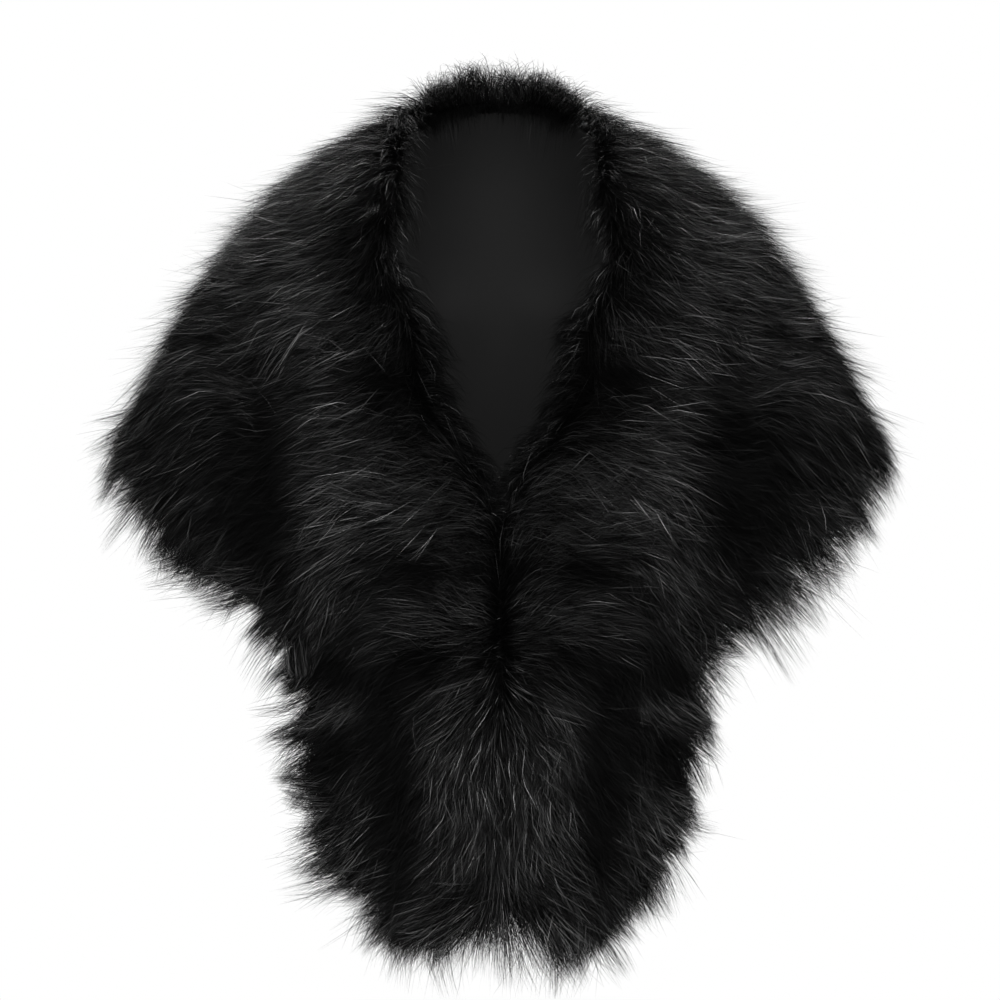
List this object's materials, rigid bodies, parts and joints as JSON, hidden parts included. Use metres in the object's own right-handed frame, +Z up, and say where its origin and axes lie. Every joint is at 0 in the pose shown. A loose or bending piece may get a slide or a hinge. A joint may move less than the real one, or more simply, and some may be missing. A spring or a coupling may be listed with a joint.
{
  "type": "faux fur capelet",
  "caption": "Black long-pile faux fur shoulder wrap, worn shape, fronts meeting at the chest and hanging in rounded tails, smooth charcoal lining.",
  "frame": {"origin": "middle of the wearer's neck, level with the tops of the shoulders that hold the garment up", "axes": "+Z up as worn, +X to the wearer's left, the wearer faces -Y"},
  "size_m": [0.5696, 0.3575, 0.6325],
  "materials": {
    "black_fur": "long glossy pile, lying outwards and down",
    "charcoal_lining": "smooth, faint sheen"
  },
  "bodies": {
    "root": {"fur_back": "black_fur", "fur_front_left": "black_fur", "fur_front_right": "black_fur", "lining_back": "charcoal_lining", "lining_front_left": "charcoal_lining", "lining_front_right": "charcoal_lining"}
  },
  "joints": []
}
